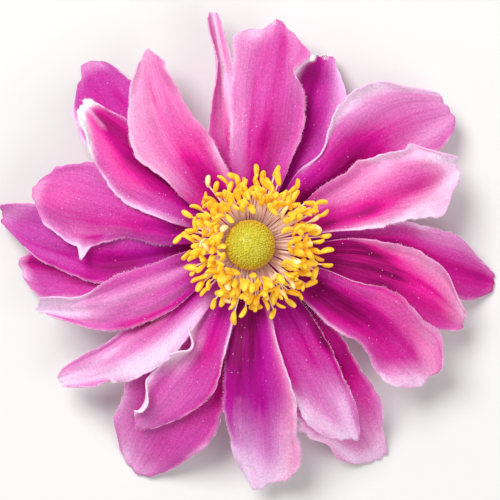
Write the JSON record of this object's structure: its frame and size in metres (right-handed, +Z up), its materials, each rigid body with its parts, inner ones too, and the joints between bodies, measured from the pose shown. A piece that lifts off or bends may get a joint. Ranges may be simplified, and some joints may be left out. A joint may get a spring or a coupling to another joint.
{
  "type": "japanese anemone flower",
  "caption": "Open semi-double Japanese anemone bloom: long pink tepals round yellow stamens and a green carpel ball, picked with a short stalk and resting face up.",
  "frame": {"origin": "on the surface that the flower rests on, under the middle of its bounding box", "axes": "+Z up along the flower's axis, from the cut stalk to the carpel ball; +Y towards the top of the picture"},
  "size_m": [0.072, 0.069, 0.0211],
  "materials": {
    "tepal": "soft satin petal, deep magenta at the foot, paler at the margins",
    "stamen": "matt, powdery golden anthers on pale mauve filaments",
    "carpel": "granular, slightly moist green",
    "stem": "matt green, finely hairy"
  },
  "bodies": {
    "root": {"stem": "stem", "tepal_01": "tepal", "tepal_02": "tepal", "tepal_03": "tepal", "tepal_04": "tepal", "tepal_05": "tepal", "tepal_06": "tepal", "tepal_07": "tepal", "tepal_08": "tepal", "tepal_09": "tepal", "tepal_10": "tepal", "tepal_11": "tepal", "tepal_12": "tepal", "tepal_13": "tepal", "tepal_14": "tepal", "tepal_15": "tepal", "tepal_16": "tepal", "tepal_17": "tepal", "tepal_18": "tepal", "tepal_19": "tepal", "tepal_20": "tepal", "tepal_21": "tepal", "stamens": "stamen", "carpel_head": "carpel"}
  },
  "joints": []
}
